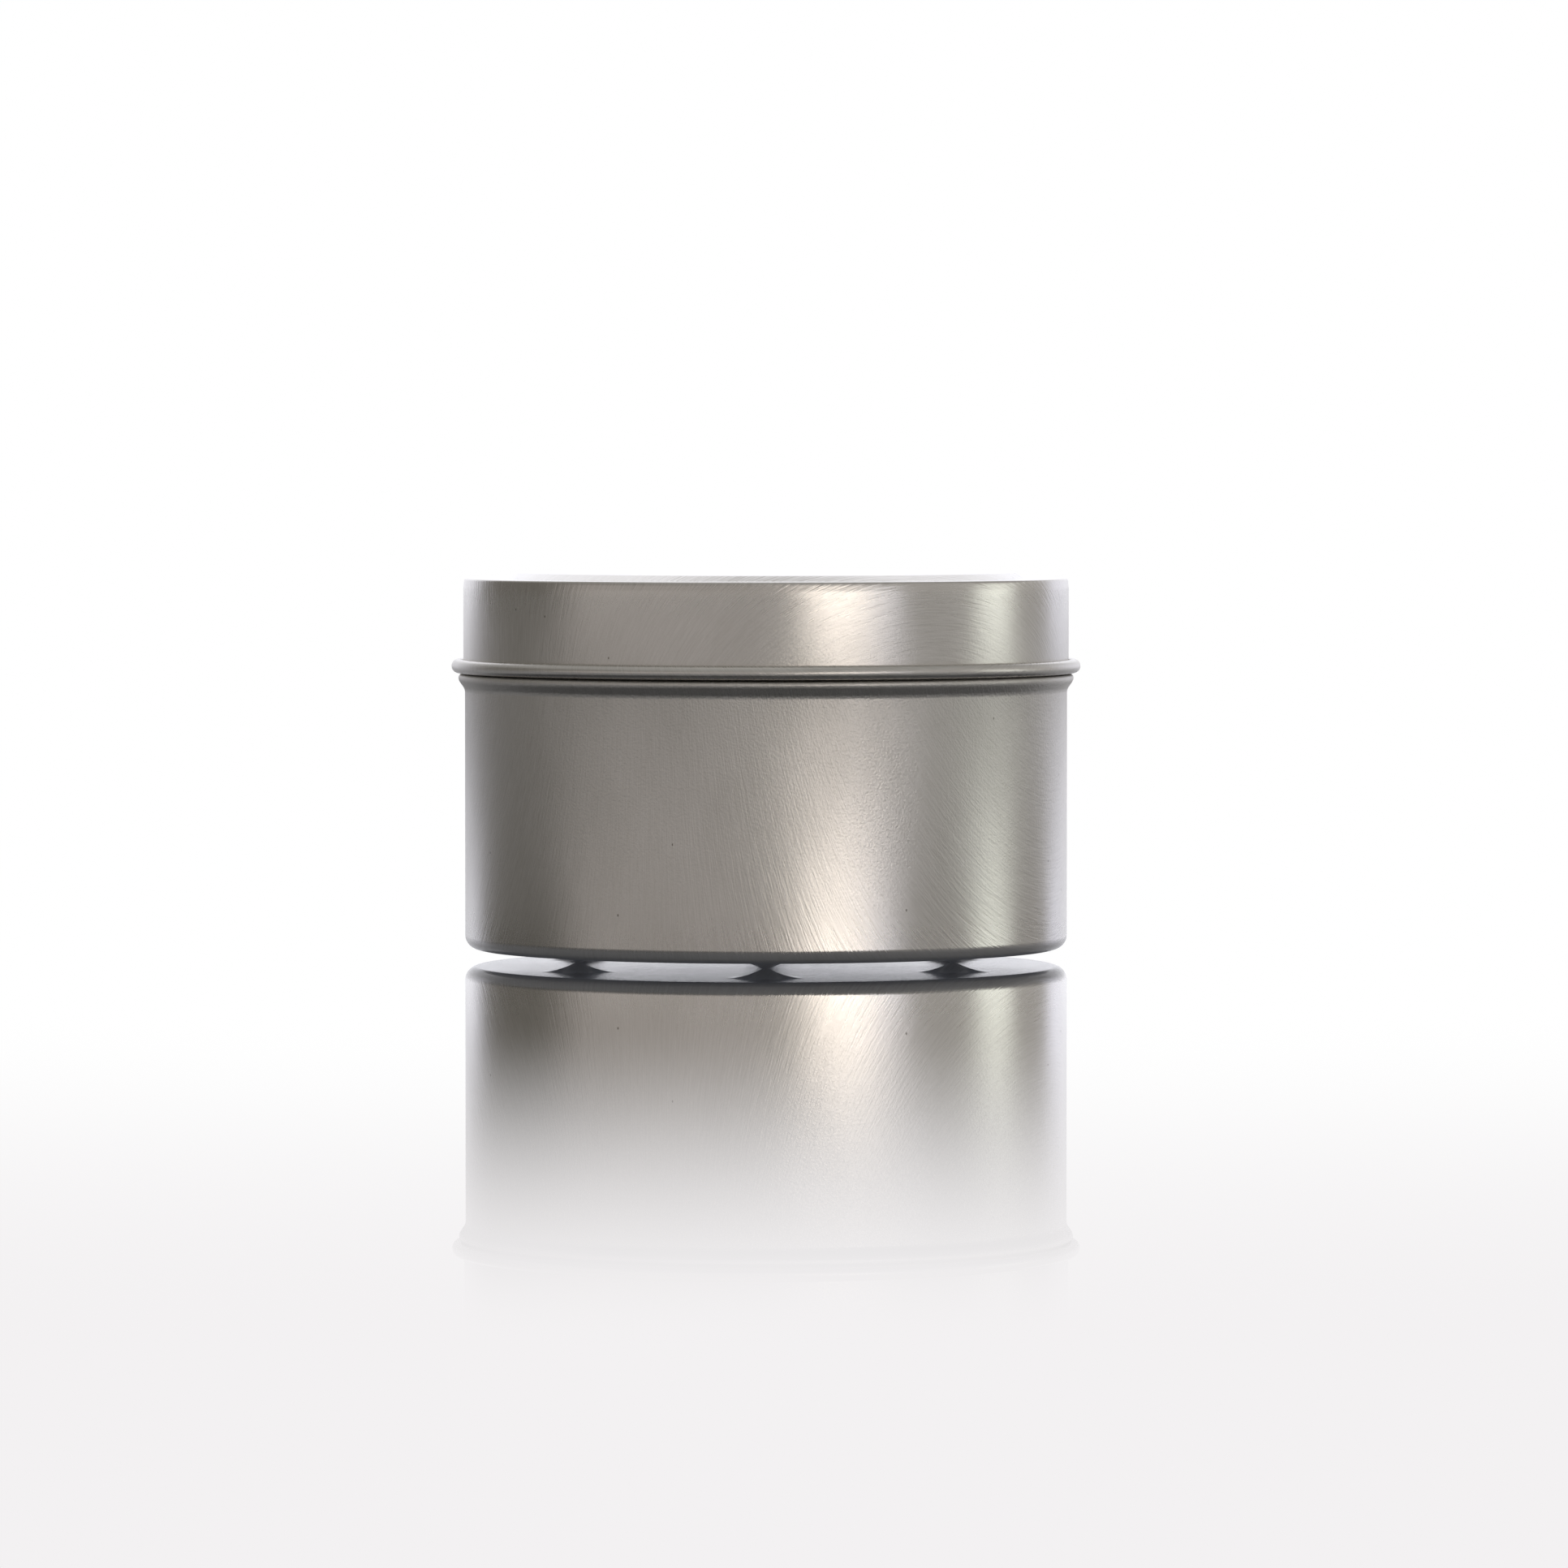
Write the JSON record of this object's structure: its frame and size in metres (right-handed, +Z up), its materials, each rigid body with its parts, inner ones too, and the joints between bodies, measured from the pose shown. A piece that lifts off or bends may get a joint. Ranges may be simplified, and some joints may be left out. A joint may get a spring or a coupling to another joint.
{
  "type": "candle tin",
  "caption": "Round seamless tin with a slip-on lid, for poured candles; rolled edges, a stop bead and pressed feet.",
  "frame": {"origin": "on the tin's axis, on the plane that its feet stand on", "axes": "+Z up along the tin's axis, -Y towards the front foot"},
  "size_m": [0.0804, 0.0804, 0.0492],
  "materials": {
    "tin_plate": "satin drawn tinplate with fine rolling grain",
    "lid_plate": "satin drawn tinplate with fine rolling grain"
  },
  "bodies": {
    "tin": {"tin_body": "tin_plate"},
    "lid": {"lid": "lid_plate"}
  },
  "joints": [
    {"name": "lid_lift", "type": "slide", "parent": "tin", "child": "lid", "axis": [0, 0, 1], "range_m": [0, 0.04]}
  ]
}
